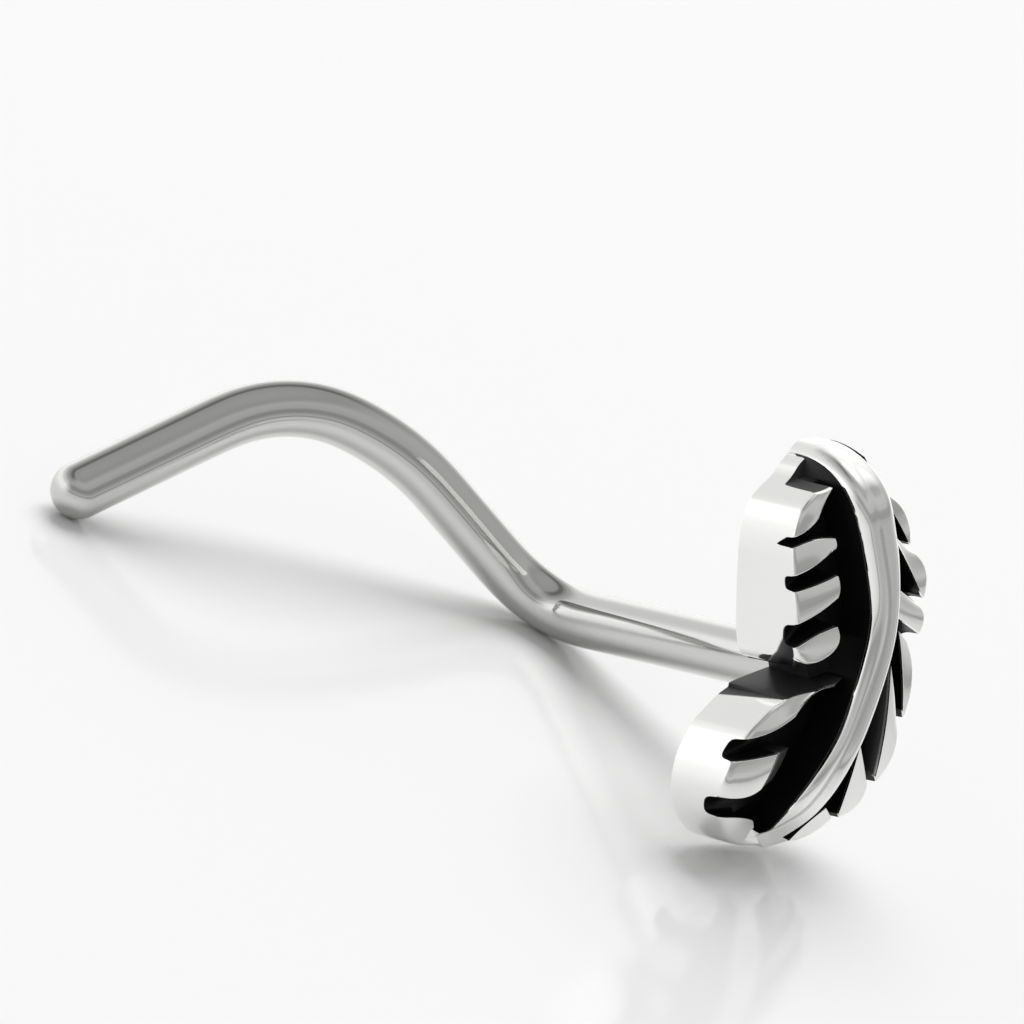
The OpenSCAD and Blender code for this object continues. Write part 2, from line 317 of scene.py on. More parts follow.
# Share of the height that is left at that corner, and how far the wall below it leans out
split_corner_h = 0.85
split_lean = 0.02
# Length of the corner's edge that stays bright, and the share of the split's width that it has
bright_corner = 0.22
bright_share = 0.2
# How far the walls lean into the split, as shares of its width: the upper wall, and the lower one
# at the outline, at its middle and at its inner end
split_upper = 0.02
split_lower = (0.10, 0.10, 0.16)

# Middle of the quill, from its rolled upper end to the tip: the four points of a cubic curve
quill = [Vector(p) for p in ((-0.05, 3.24), (-0.12, 1.11), (1.15, 1.525), (-1.41, -2.14))]
quill_top, quill_end = quill[0].y, quill[3].y
# Half widths of the quill to its left and to its right, at heights up the feather
quill_left = [
    (quill_end, 0.02), (-2.11, 0.2), (-2.075, 0.28), (-2.056, 0.22), (-2.03, 0.16), (-1.975, 0.11),
    (-1.88, 0.13), (-1.77, 0.21), (-1.63, 0.255), (-1.45, 0.268), (-1.0, 0.265), (-0.87, 0.245),
    (-0.7, 0.23), (0.2, 0.26), (0.75, 0.255), (1.45, 0.3), (2.3, 0.3), (2.75, 0.31),
    (quill_top, 0.26)]
quill_right = [
    (quill_end, 0.02), (-2.05, 0.1), (-1.96, 0.13), (-1.88, 0.145), (-1.64, 0.155), (-1.5, 0.185),
    (-1.36, 0.195), (-1.18, 0.17), (-1.03, 0.165), (-0.88, 0.18), (-0.6, 0.2), (0.42, 0.2),
    (0.98, 0.2), (1.25, 0.22), (1.67, 0.27), (1.95, 0.305), (2.3, 0.285), (2.8, 0.3),
    (quill_top, 0.25)]
# Place of the crease between the left edge (-1) and the middle (0) at heights up the feather
crease_line = [(-1.95, -1), (-1.88, -0.75), (-1.8, -0.3), (-1.6, -0.2), (-1.4, -0.29), (-1.15, -0.36),
               (-0.7, -0.42), (0, -0.25), (0.6, -0.12), (quill_top, -0.08)]
# Share of the quill's height that is left at heights up the feather
quill_fade = [(quill_end, 0.02), (-2.07, 0.04), (-1.97, 0.12), (-1.86, 0.35), (-1.75, 0.62),
              (-1.6, 0.85), (-1.1, 1), (quill_top, 1)]

# The barbs' edges, upper then lower for each barb, from the top of the feather to its tip.
# Columns: height where the row leaves the quill, then the places across and up of the edge's
# start at the outline, its middle and its inner end
left_edges = [
    (2.86, -0.76, 2.74, -0.64, 2.75, -0.51, 2.79), (2.80, -1.19, 2.18, -0.99, 2.27, -0.83, 2.42),
    (2.15, -1.22, 2.04, -0.89, 2.13, -0.56, 2.12), (2.05, -1.26, 1.65, -0.96, 1.77, -0.68, 1.97),
    (1.66, -1.27, 1.46, -0.95, 1.52, -0.60, 1.62), (1.42, -1.28, 0.99, -0.95, 1.13, -0.63, 1.32),
    (0.97, -1.27, 0.69, -0.94, 0.84, -0.63, 0.92), (0.60, -1.25, 0.53, -1.01, 0.44, -0.75, 0.53),
    (0.05, -1.43, -0.02, -1.20, 0.04, -0.65, 0.08), (-0.06, -2.14, -0.46, -1.74, -0.41, -1.36, -0.24),
    (-0.77, -2.35, -0.745, -1.98, -0.745, -1.64, -0.72),
    (-1.19, -2.48, -1.25, -2.13, -1.29, -1.86, -1.20),
    (-1.60, -2.42, -1.55, -2.12, -1.58, -1.92, -1.64),
    (-2.055, -1.86, -2.05, -1.75, -1.95, -1.645, -1.86)]
# The same for the right, where the third column after the height is the share of the way to
# the quill at which the edge ends
right_edges = [
    (2.64, 0.45, 2.58, 0.90), (2.16, 0.93, 1.80, 0.10),
    (2.05, 0.90, 1.73, 0.92), (1.43, 1.19, 1.02, 0.10),
    (1.33, 1.03, 0.98, 0.92), (0.96, 1.10, 0.53, 0.92),
    (0.88, 0.87, 0.46, 0.50), (0.62, 0.81, -0.60, 0.10),
    (0.55, 0.67, -0.64, 0.78), (-0.38, 0.45, -1.47, 0.08),
    (-0.42, 0.28, -1.50, 0.65), (-1.15, -0.05, -1.93, 0.08),
    (-1.28, -0.20, -1.92, 0.36), (-1.95, -0.88, -2.15, 0.08)]
# The left outline of the two lobes, and where the outline meets the quill's two ends, with the
# share of the way to the quill at which its last rows end
left_outline = [
    [(-0.33, 3.075), (-0.455, 2.99), (-0.55, 2.89), (-0.64, 2.81), (-0.761, 2.736),
     (-0.914, 2.641), (-1.038, 2.53), (-1.114, 2.402), (-1.174, 2.237), (-1.235, 1.955),
     (-1.255, 1.7), (-1.274, 1.35), (-1.281, 0.77), (-1.262, 0.593), (-1.221, 0.473),
     (-1.145, 0.385), (-1.05, 0.35)],
    [(-1.41, -0.01), (-1.633, -0.104), (-1.834, -0.229), (-2.058, -0.385), (-2.214, -0.566),
     (-2.349, -0.751), (-2.437, -0.959), (-2.48, -1.15), (-2.465, -1.38), (-2.393, -1.609),
     (-2.281, -1.79), (-2.126, -1.934), (-1.903, -2.04), (-1.65, -2.098), (-1.44, -2.125)]]
left_ends = [(-0.33, 3.075), (-1.44, -2.125)]
right_ends = [(0.25, 3.22), (-1.375, -2.13)]
end_share = 0.9
# How far each barb's end bulges: at the outline on the right, at the inner end on the left
left_bellies = [-0.02, 0.06, 0.02, 0.10, -0.13, 0, 0]
right_bellies = [0.15, 0.17, 0.12, 0.13, 0.11, 0.12, 0.09]
# Lengths of the slopes past some barbs' inner ends, by the barb's number from the top, the
# share of the channel that one may fill, how far they fall, and how black they start and end
left_slopes = {4: 0.26, 5: 0.3}
right_slopes = {4: 0.12}
slope_most = 0.8
slope_fall = 0.1
slope_blacks = (0.41, 0.7)
# Height of the left wall's top edge over the flat back, and how far that edge is rounded
left_rim = [(quill_end, 0.66), (-1.9, 0.8), (-1.55, 0.94), (-1.25, 1.02), (-0.95, 1.07),
            (-0.75, 1.11), (-0.45, 1.14), (0, 1.16), (0.5, 1.19), (1.0, 1.22), (1.3, 1.21),
            (1.7, 1.14), (2.05, 1.08), (2.2, 1.06), (2.74, 1.07), (3.1, 1.0)]
left_round = [(quill_end, 0.04), (-2.03, 0.05), (-1.75, 0.09), (-1.5, 0.13), (-1.1, 0.09),
              (-0.6, 0.05), (quill_top, 0.045)]
right_round = [(quill_end, 0.03), (quill_top, 0.03)]
# Depth of each groove at the outline, below the wall's edge, from the top to the tip
left_grooves = [0.80, 0.34, 0.20, 0.25, 0.40, 0.28, 0.33, 0.06]
right_grooves = [0.10, 0.30, 0.30, 0.28, 0.30, 0.28, 0.25, 0.06]
# A groove's cross-section, as a burr cuts it: share of its width, share of its depth
groove_section = [(0.01, 0.12), (0.05, 0.62), (0.12, 0.86), (0.25, 0.97), (0.4, 1.0), (0.5, 1.0)]
groove_section += [(1 - share, depth) for share, depth in reversed(groove_section[:-1])]
# The section of the grooves that the burr entered aslant, by their number from the top
slant_section = [(0.01, 0.12), (0.05, 0.4), (0.25, 0.55), (0.5, 0.75), (0.85, 1.0), (0.95, 0.8),
                 (0.99, 0.12)]
slant_grooves = (1, 4)
# The open pocket beside the quill's rolled end has one wall only, at the first barb
pocket_section = [(0, 1), (0.2, 1), (0.4, 1), (0.6, 1), (0.8, 1), (0.92, 0.99), (0.95, 0.93),
                  (0.975, 0.62), (0.99, 0.12)]
# Shares of the split's width at which rows are drawn: its two walls, with the gap between
split_section = [0.02, 0.08, 0.15, 0.25, 0.35, 0.45, 0.55, 0.62, 0.7, 0.78, 0.86, 0.93, 0.98]
# How black the floors are: thick sulphide in the grooves, and a lighter grey in the open pocket
# and in the split, which is painted light
pocket_painted_light = 0.62
split_painted_light = 0.82
groove_black = 1.0

# Parts of the wall that the black reaches, as ranges across and up: below the upper lobe's last
# groove, at the lower lobe's corner, and inside the split
run_part = ((-9, -1.04), (0.3, 1.1))
corner_part = ((-3, -1), (-0.4, 0.05))
split_part = ((-1.05, 0), (0, 0.6))
# In the first of them the black is what lies higher above the back than this line, and in the
# second what lies nearer to the corner than this length, at the back
run_line = [(0.35, 0.4), (0.415, 0.57), (0.585, 0.795), (0.82, 0.955), (0.92, 1.02), (1.0, 1.3)]
corner_black = 0.2
# How softly those two patches and the bright corner's end fade, and where in the fade they start
run_fade = 0.4
corner_fade = 0.3
bright_fade = 0.03
fade_start = 0.45

# The mesh: shares of the quill's left face and of its right face, from edge to crease
quill_columns = [0, 0.03, 0.08, 0.16, 0.28, 0.42, 0.56, 0.7, 0.82, 0.92]
# Points over the wall's rounded edge, a barb's inner end and its two sides, as multiples of each
# edge's radius, the most of a row that the first may take up, and the steps between them
outline_steps = (0, 0.04, 0.14, 0.32, 0.6, 1, 1.5)
end_steps = (1.8, 1.1, 0.6, 0.2, 0)
side_steps = (0, 0.3, 0.7, 1.1, 1.8)
crowd_most = 0.3
top_steps = 9
barb_steps = 12
# How far past a barb's inner end its wall starts down, how far past the end, or past its dull
# slope, the floor starts, and the most of the way to the quill that both may take up
cliff_run = 0.002
ledge_run = 0.01
cliff_most = 0.3
# How far outside the quill its own side starts, and the vanes' rows end
skirt_apart = 0.003
foot_apart = 0.02
# Rows over the quill and over its rolled end, closer ones over the tip, below a height, and
# levels of the wall
quill_steps = 60
roll_steps = 24
tip_from = -1.7
tip_steps = 24
wall_levels = 30
# Lengths below these count as none, or make two points one
hair = 1e-6
head_merge = 1e-5
# Decimals to which the rows' heights are rounded, so that none is drawn twice
height_digits = 5
# How far up and down the feather a table's values are averaged: at most, at the tip, and how
# fast it grows from there, with the steps to either side
soft_most = 0.28
soft_least = 0.01
soft_growth = 0.4
soft_steps = 4


def mix(a, b, t):
    return a + (b - a) * t


def clamp(x):
    return min(1.0, max(0.0, x))


def eased(x):
    """A share from 0 to 1 that starts and stops gently."""
    return x * x * (3 - 2 * x)


def looked_up(table, x):
    """The second column of a table at a value of its first, on straight lines between rows."""
    for (x0, y0), (x1, y1) in zip(table, table[1:]):
        if x <= x1:
            return mix(y0, y1, clamp((x - x0) / (x1 - x0)))
    return table[-1][1]


def softly(table, up):
    """A table's value averaged over the neighbourhood, so that no kink shows in the polish."""
    reach = min(soft_most, soft_least + soft_growth * abs(up - quill_end))
    places = [up + reach * k / soft_steps for k in range(-soft_steps, soft_steps + 1)]
    return sum(looked_up(table, place) for place in places) / len(places)


def cubic(p, t):
    return ((1 - t) ** 3 * p[0] + 3 * (1 - t) ** 2 * t * p[1] + 3 * (1 - t) * t * t * p[2]
            + t ** 3 * p[3])


def smooth_line(points, steps=10):
    """A smooth curve through points, with each of its points' length along it."""
    points = [Vector(p) for p in points]
    padded = [2 * points[0] - points[1], *points, 2 * points[-1] - points[-2]]
    line = [(0.0, points[0])]
    for a, b, c, d in zip(padded, padded[1:], padded[2:], padded[3:]):
        reach = (c - b).length
        go_b = (c - a) * (reach / ((c - b).length + (b - a).length))
        go_c = (d - b) * (reach / ((d - c).length + (c - b).length))
        for k in range(1, steps + 1):
            p = cubic([b, b + go_b / 3, c - go_c / 3, c], k / steps)
            line.append((line[-1][0] + (p - line[-1][1]).length, p))
    return line


def along(line, length):
    """The place at a length along a smooth line."""
    for (s0, p0), (s1, p1) in zip(line, line[1:]):
        if length <= s1:
            return mix(p0, p1, clamp((length - s0) / (s1 - s0)))
    return line[-1][1]


def nearest(line, place):
    """The length along a smooth line at which it comes nearest to a place."""
    return min(line, key=lambda at: (at[1] - place).length)[0]


def quill_share(up, halvings=30):
    """Share of the quill's curve that lies at a height, found by halving."""
    low, high = 0.0, 1.0
    for _ in range(halvings):
        half = (low + high) / 2
        if cubic(quill, half).y > up:
            low = half
        else:
            high = half
    return (low + high) / 2


def rolled(up):
    """How far the quill has rolled over at a height: 0 where it starts to, and 1 at its end."""
    return clamp((up - roll_start) / (quill_top - roll_start))


def quill_half(up, x):
    return softly(quill_left if x < 0 else quill_right, up)


def quill_point(up, x, apart=0.0, step=0.001):
    """Place in the face on the quill, x from -1 at its left edge to 1 at its right."""
    share = quill_share(up)
    run = cubic(quill, share + step) - cubic(quill, share - step)
    side = Vector((-run.y, run.x)).normalized()
    out = quill_half(up, x) * x + math.copysign(apart, x)
    cut = (max(0, -x) * rolled(up) ** 2) ** 2
    return cubic(quill, share) + out * side - cut * Vector((0, corner_cut))


def rim(up):
    """Height of the right wall's top edge over the flat back."""
    return max(rim_least, wall_h - bow_low * max(0, bow_low_from - up) ** 2
               - bow_high * max(0, up - bow_high_from) ** 2)


def quill_left_over(up):
    return softly(quill_fade, up)


def crest(up):
    """Height of the quill's two ridges, which fade at the tip and roll softly over on top."""
    return mix(roll_back, rim(up) + quill_h * quill_left_over(up), math.sqrt(1 - rolled(up) ** 3))


def quill_drop(up, edge):
    """How far the quill's left or right edge lies below its ridges."""
    more = quill_top_drop * eased(clamp((up - top_drop_from) / top_drop_run))
    return (quill_left_drop + more if edge < 0 else quill_right_drop) * quill_left_over(up)


def rounding(distance, radius):
    """How far an edge of that radius lies below the top, at a distance inside the edge."""
    if distance >= radius:
        return 0.0
    return radius - math.sqrt(radius ** 2 - (radius - max(0, distance)) ** 2)


# One edge of a barb: the height at which its row leaves the quill, and three places in the face
Edge = namedtuple("Edge", "height start middle end")


class Vane:
    """One side of the feather, with hand -1 on the left and 1 on the right.

    The stretches i between its edges are grooves (even) and barbs (odd), from the top down, and
    t is the share of a stretch's width, from its upper to its lower edge.
    """

    def __init__(self, edges, ends, bellies, grooves, hand, lines=()):
        self.bellies = bellies
        self.grooves = grooves
        self.hand = hand
        self.lines = [smooth_line(points) for points in lines]
        self.edges = []
        for row in [(quill_top, *ends[0], end_share), *edges, (quill_end, *ends[1], end_share)]:
            start = Vector(row[1:3])
            foot = self.foot(row[0])
            if len(row) == 4:
                middle, end = mix(start, foot, row[3] / 2), mix(start, foot, row[3])
            else:
                middle, end = Vector(row[3:5]), Vector(row[5:7])
            self.edges.append(Edge(row[0], start, middle, end))
        self.marks = [nearest(self.lines[k > 2 * split], edge.start) if self.lines else 0
                      for k, edge in enumerate(self.edges)]

    def foot(self, up):
        """Where a row ends, beside the quill."""
        return quill_point(up, self.hand, foot_apart)

    def rim(self, up):
        return softly(left_rim, up) if self.hand < 0 else rim(up)

    def is_split(self, i):
        return self.hand < 0 and i == 2 * split

    def is_pocket(self, i):
        return self.hand < 0 and i == 0

    def is_lip(self, i):
        return i == len(self.edges) - 2

    def runs_on(self, i, t):
        """Whether a place is in the lower half of the last barb, which runs on into the lip."""
        return i == len(self.edges) - 3 and t > 0.5

    def slope(self, i):
        """Length of the slope past a barb's inner end, which grows darker towards the channel."""
        return (left_slopes if self.hand < 0 else right_slopes).get(i // 2, 0) if i % 2 else 0

    def tone(self, i):
        """How black a groove is: thick sulphide in the deep ones, and a lighter grey in the open
        pocket and in the split, which is painted light.
        """
        return pocket_painted_light if self.is_pocket(i) else split_painted_light if self.is_split(i) else groove_black

    def section(self, i):
        if self.is_pocket(i):
            return pocket_section
        return slant_section if self.hand < 0 and i // 2 in slant_grooves else groove_section

    def height(self, i, t):
        """Height up the feather at which a row meets the quill."""
        return mix(self.edges[i].height, self.edges[i + 1].height, t)

    def heights(self):
        """Heights of the rows that draw the vane's barbs, grooves and split."""
        heights = [self.edges[0].height, self.edges[-1].height]
        for i, (a, b) in enumerate(zip(self.edges, self.edges[1:])):
            if i % 2:
                near = [barb_edge * step / (a.start - b.start).length for step in side_steps]
                shares = near + [k / barb_steps for k in range(2, barb_steps - 1)]
                shares += [1 - share for share in near]
            elif self.is_split(i):
                shares = split_section
            else:
                shares = [share for share, _ in self.section(i)]
            heights += [self.height(i, t) for t in shares]
        return heights

    def belly(self, i, t, a, b):
        """How far a barb's end bulges beside the straight line from a to b."""
        run = (b - a).normalized()
        return 4 * t * (1 - t) * self.bellies[i // 2] * Vector((-run.y, run.x))

    def start(self, i, t):
        """Where the row leaves the outline."""
        a, b = self.edges[i].start, self.edges[i + 1].start
        if self.is_split(i):
            if t < 0.5:
                line = self.lines[0]
                corner = along(line, mix(self.marks[i], line[-1][0], clamp(t / split_corner)))
                return corner - Vector((0, split_lean * split_fall(t)))
            return mix(a, b, 1 - split_lower[0] * (1 - t) / split_wall)
        if self.lines:
            return along(self.lines[i > 2 * split], mix(self.marks[i], self.marks[i + 1], t))
        return mix(a, b, t) + (self.belly(i, t, a, b) if i % 2 else Vector((0, 0)))

    def knots(self, i, t):
        """A row's start at the outline, its middle, its inner end, and its foot at the quill."""
        a, b = self.edges[i], self.edges[i + 1]
        middle, end = mix(a.middle, b.middle, t), mix(a.end, b.end, t)
        if self.is_split(i):
            near, far = [split_upper * t / split_wall] * 2
            if t > 0.5:
                near, far = (1 - share * (1 - t) / split_wall for share in split_lower[1:])
            middle, end = mix(a.middle, b.middle, near), mix(a.end, b.end, far)
        if self.lines and i % 2:
            end = end + self.belly(i, t, a.end, b.end)
        return self.start(i, t), middle, end, self.foot(self.height(i, t))


def barb_part(knots, v):
    """Place on a row between the outline (0) and the barb's inner end (1)."""
    out, middle, end, _ = knots
    pull = 2 * middle - (out + end) / 2
    return (1 - v) ** 2 * out + 2 * v * (1 - v) * pull + v * v * end


def outer_shares(outer, radius):
    """Shares of a row's outer part at which points lie, crowded over its two rounded edges."""
    crowd = min(1, crowd_most * outer / max(radius, barb_edge))
    near = [radius * step * crowd / outer for step in outline_steps]
    far = [1 - step * barb_edge * crowd / outer for step in end_steps]
    return near + [mix(near[-1], far[0], k / top_steps) for k in range(1, top_steps)] + far


def inner_shares(inner, slope):
    """Shares of a row's inner part, between the barb's inner end and the quill."""
    if slope:
        return [run / inner for run in (cliff_run, slope / 2, slope, slope + ledge_run)] + [1]
    near = [min(cliff_most, run / inner) for run in (cliff_run, ledge_run)]
    return near + [mix(near[-1], 1, k / 3) for k in (1, 2, 3)]


def lip_height(rim_h, edge_h, lengths, t):
    """Height of the lip at the tip, which runs on from the last barb and meets the quill."""
    run, outer, inner = lengths
    late = clamp((run - outer) / inner)
    rise = mix(late, clamp(run / (outer + inner)), min(1, 2 * t))
    barb_h = rim_h + (barb_slope * run - barb_flatten * run * run) * (1 - t)
    return mix(barb_h, edge_h, eased(rise))


def split_fall(t):
    """How far down the upper lobe's wall a share of the split's width lies, to 1 at the back."""
    return clamp((t - split_corner) / (split_wall - split_corner))


def split_height(h, t):
    """Height in the split: down the upper lobe's wall to the back, and up the lower lobe's."""
    if t < 0.5:
        return h * (1 - split_fall(t)) * mix(1, split_corner_h, clamp(t / split_corner))
    return h * clamp(1 - (1 - t) / split_wall)


def split_tone(t, run):
    """How black the split is: the upper lobe's edge stays bright up to its corner's end, its wall
    below is black, and the lower lobe's wall is a lighter grey, which is painted light.
    """
    if t < bright_share:
        return clamp((run - bright_corner) / bright_fade + 0.5)
    return groove_black if t < 0.5 else split_painted_light


def vane_row(vane, i, t):
    """One row, from the outline to the quill's foot: (height, across, up, black) at each point."""
    knots = vane.knots(i, t)
    out, middle, end, foot = knots
    outer = (middle - out).length + (end - middle).length
    inner = (foot - end).length
    rim_h = vane.rim(out.y)
    radius = softly(left_round if vane.hand < 0 else right_round, out.y)
    floor_h = pocket_h if vane.is_pocket(i) else rim_h - channel_d
    edge_h = crest(vane.height(i, t)) - quill_drop(vane.height(i, t), vane.hand)
    slope = min(vane.slope(i), slope_most * inner)
    outers, inners = outer_shares(outer, radius), inner_shares(inner, slope)
    tops = len(outers)
    places = [barb_part(knots, v) for v in outers] + [mix(end, foot, s) for s in inners]
    if i % 2:
        sides = [[barb_part(vane.knots(i, side), v) for v in outers] for side in (0, 1)]
    row = []
    run = 0.0
    for k, place in enumerate(places):
        if k:
            run += (place - places[k - 1]).length
        h = rim_h + barb_slope * run - barb_flatten * run * run
        black = vane.tone(i)
        if vane.is_lip(i):
            h, black = lip_height(rim_h, edge_h, (run, outer, inner), t), 0.0
        elif slope and tops <= k < tops + 3:
            share = inners[k - tops] / inners[2]
            h, black = row[tops - 1][0] - slope_fall * share, mix(*slope_blacks, share)
        elif k >= tops:
            h = h - barb_edge - black_below if k == tops and i % 2 else floor_h
        elif i % 2:
            if not vane.runs_on(i, t):
                wide = (sides[0][k] - sides[1][k]).length
                h -= barb_crown * (2 * t - 1) ** 2 + rounding(min(t, 1 - t) * wide, barb_edge)
            h -= rounding((1 - outers[k]) * outer, barb_edge)
            black = 0.0
        elif vane.is_split(i):
            h, black = split_height(h, t), split_tone(t, run)
        else:
            groove_h = floor_h if vane.is_pocket(i) else rim_h - vane.grooves[i // 2]
            bottom = mix(groove_h, floor_h, min(1, run / groove_run))
            h = mix(h - barb_crown - barb_edge, bottom, looked_up(vane.section(i), t))
        if k < tops and h > radius and (i % 2 or vane.is_split(i) or vane.is_lip(i)):
            h -= rounding(run, radius)
        h = min(h, edge_h)
        row.append((h if h > hair else 0.0, place.x, place.y, black))
    return row


def row_at(vane, up):
    """The vane's row that meets the quill at a height."""
    for i, (a, b) in enumerate(zip(vane.edges, vane.edges[1:])):
        if up >= b.height - hair:
            return vane_row(vane, i, clamp((a.height - up) / (a.height - b.height)))


def quill_row(up):
    """One row over the quill, from below its left edge to below its right edge."""
    crease = softly(crease_line, up)
    row = []
    for edge in (-1, 1):
        ridge = (crease + edge) / 2
        face = [mix(edge, crease, share) for share in quill_columns]
        for x in face + [crease] if edge < 0 else reversed(face):
            if (x - ridge) * edge > 0:
                drop = quill_drop(up, edge) * ((x - ridge) / (edge - ridge)) ** 2
            else:
                drop = crease_d * ((x - ridge) / max(crease_least, abs(crease - ridge))) ** 2
            drop += rounding((1 - abs(x)) * quill_half(up, x), quill_edge * quill_left_over(up))
            place = quill_point(up, x)
            # The grey about the crease is painted shade, and none is painted on the rolled top
            grey = crease_painted_shade * max(0, 1 - ((x - crease) / crease_shade_wide) ** 2) * (1 - rolled(up))
            row.append((crest(up) - drop, place.x, place.y, grey))
    for edge, k, edges in ((-1, 0, left_edges), (1, -1, right_edges)):
        place = quill_point(up, edge, skirt_apart)
        in_pool = up > edges[-1][0]
        point = (row[k][0] - black_below * in_pool, place.x, place.y, float(in_pool))
        row.insert(0 if edge < 0 else len(row), point)
    return row


def within(part, across, up):
    """Whether a place in the face lies in a part, given as its ranges across and up."""
    (left, right), (low, high) = part
    return left < across < right and low < up < high


def wall_black(h, across, up):
    """How black a place on the outer wall is, at a height over the back."""
    if within(run_part, across, up):
        return clamp((h - looked_up(run_line, up)) / run_fade + fade_start)
    if within(corner_part, across, up):
        beside = math.dist((across, up), left_edges[2 * split][1:3])
        return clamp((corner_black * (1 - h / wall_h) - beside) / corner_fade + fade_start)
    return float(within(split_part, across, up))


def add_face(mesh, dark, rows):
    """Joins the rows to the head's face, apart from what lies on the back, inside the split."""
    grid = []
    for row in rows:
        line = []
        for h, across, up, tone in row:
            point = mesh.verts.new((h, across, up))
            point[dark] = tone
            line.append(point)
        grid.append(line)
    for a, b in zip(grid, grid[1:]):
        for j in range(len(a) - 1):
            corners = (a[j], b[j], b[j + 1], a[j + 1])
            if max(corner.co.x for corner in corners) > 0:
                mesh.faces.new(corners)
    loose = [point for point in mesh.verts if not point.link_faces]
    bmesh.ops.delete(mesh, geom=loose, context="VERTS")


def add_wall(mesh, dark):
    """Draws the face's outline down to the back, in level steps."""
    edges = [edge for edge in mesh.edges
             if edge.is_boundary and max(point.co.x for point in edge.verts) > 0]
    for level in range(wall_levels, 0, -1):
        made = bmesh.ops.extrude_edge_only(mesh, edges=edges)["geom"]
        for point in made:
            if isinstance(point, bmesh.types.BMVert) and point.co.x > 0:
                point.co.x *= (level - 1) / level
                point[dark] = wall_black(*point.co)
        edges = [edge for edge in made if isinstance(edge, bmesh.types.BMEdge)]
    bmesh.ops.remove_doubles(mesh, verts=mesh.verts, dist=head_merge)
    bmesh.ops.dissolve_degenerate(mesh, edges=mesh.edges, dist=hair)


def feather_mesh():
    """The head, laid on the table, with the attribute black at the corners of its faces."""
    left = Vane(left_edges, left_ends, left_bellies, left_grooves, -1, left_outline)
    right = Vane(right_edges, right_ends, right_bellies, right_grooves, 1)
    heights = left.heights() + right.heights()
    heights += [mix(roll_start, quill_top, math.cos(math.radians(90 * k / roll_steps)))
                for k in range(roll_steps)]
    heights += [mix(roll_start, quill_end, k / quill_steps) for k in range(quill_steps + 1)]
    heights += [mix(tip_from, quill_end, k / tip_steps) for k in range(tip_steps)]
    rows = [row_at(left, up) + quill_row(up) + row_at(right, up)[::-1]
            for up in sorted({round(up, height_digits) for up in heights}, reverse=True)]

    mesh = bmesh.new()
    dark = mesh.verts.layers.float.new("dark")
    black = mesh.loops.layers.float.new("black")
    add_face(mesh, dark, rows)
    add_wall(mesh, dark)
    rim_edges = [edge for edge in mesh.edges if edge.is_boundary]
    bmesh.ops.triangle_fill(mesh, edges=rim_edges, use_beauty=True)
    bmesh.ops.recalc_face_normals(mesh, faces=mesh.faces)
    # The flat back keeps its zeros, although its corners' points are black inside the split
    for face in mesh.faces:
        if max(point.co.x for point in face.verts) > hair:
            for corner in face.loops:
                corner[black] = corner.vert[dark]
    mesh.verts.layers.float.remove(dark)
    made = bpy.data.meshes.new("feather_head")
    mesh.to_mesh(made)
    mesh.free()
    made.transform(laid @ Matrix.Scale(MM, 4))
    return made


def blackened_silver_with_painted_light_and_shade():
    """Cast sterling silver: where the mesh says 0 it is buffed until it mirrors, where it says 1
    it has a satin coat of black sulphide, and a thinner coat between them is dark grey. The grey
    along the quill's crease is painted shade, and the lighter grey in the open pocket and the
    split is painted light."""
    material = bpy.data.materials.new("blackened_sterling_silver_with_painted_light_and_shade")
    material.use_nodes = True
    tree = material.node_tree
    tree.nodes.clear()
    black_and_painted_light = add_node(tree, "ShaderNodeAttribute", attribute_name="black")
    cover = add_node(tree, "ShaderNodeMapRange",
                     {"Value": black_and_painted_light.outputs["Fac"], "From Min": 0.4, "From Max": 0.5})
    depth = add_node(tree, "ShaderNodeMapRange",
                     {"Value": black_and_painted_light.outputs["Fac"], "From Min": 0.5, "From Max": 1.0})
    # Its dark grey end is also the painted shade along the crease and the painted light in the pocket
    # and the split
    sulphide = add_node(tree, "ShaderNodeMix",
                        {0: depth.outputs["Result"], 6: linear("#464647"), 7: linear("#0B0B0C")},
                        data_type="RGBA")
    colour = add_node(tree, "ShaderNodeMix",
                      {0: cover.outputs["Result"], 6: linear("#F0F0EE"), 7: sulphide.outputs[2]},
                      data_type="RGBA")
    rough = add_node(tree, "ShaderNodeMix",
                     {0: cover.outputs["Result"], 2: polish(tree, 0.06, 0.12), 3: 0.42})
    metal = add_node(tree, "ShaderNodeMath", {0: 1.0, 1: cover.outputs["Result"]},
                     operation="SUBTRACT")
    shader = add_node(tree, "ShaderNodeBsdfPrincipled",
                      {"Base Color": colour.outputs[2], "Metallic": metal.outputs[0],
                       "Roughness": rough.outputs[0], "Specular IOR Level": 0.25})
    add_node(tree, "ShaderNodeOutputMaterial", {"Surface": shader.outputs["BSDF"]})
    return material


head = bpy.data.objects.new("feather_head", feather_mesh())
bpy.context.scene.collection.objects.link(head)
head.data.materials.append(blackened_silver_with_painted_light_and_shade())
head.data.shade_smooth()
head.data.set_sharp_from_angle(angle=math.radians(50))
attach(head, "root")
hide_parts("nose_screw")

# The table and the light
# A sheet of glazed white card that reaches past the view, and the soft light of a white tent,
# whose walls are what the silver mirrors. Sizes here are in metres, as the scene's are.

table_half = 0.4
corners = [(-table_half, -table_half, 0), (table_half, -table_half, 0),
           (table_half, table_half, 0), (-table_half, table_half, 0)]
table_mesh = bpy.data.meshes.new("table")
table_mesh.from_pydata(corners, [], [(0, 1, 2, 3)])
table = bpy.data.objects.new("table", table_mesh)
bpy.context.scene.collection.objects.link(table)
# White card with a glaze, which mirrors the head faintly
card = bpy.data.materials.new("white_card")
card.use_nodes = True
card_shader = card.node_tree.nodes["Principled BSDF"]
card_shader.inputs["Base Color"].default_value = linear("#F4F4F4")
card_shader.inputs["Roughness"].default_value = 0.12
table_mesh.materials.append(card)

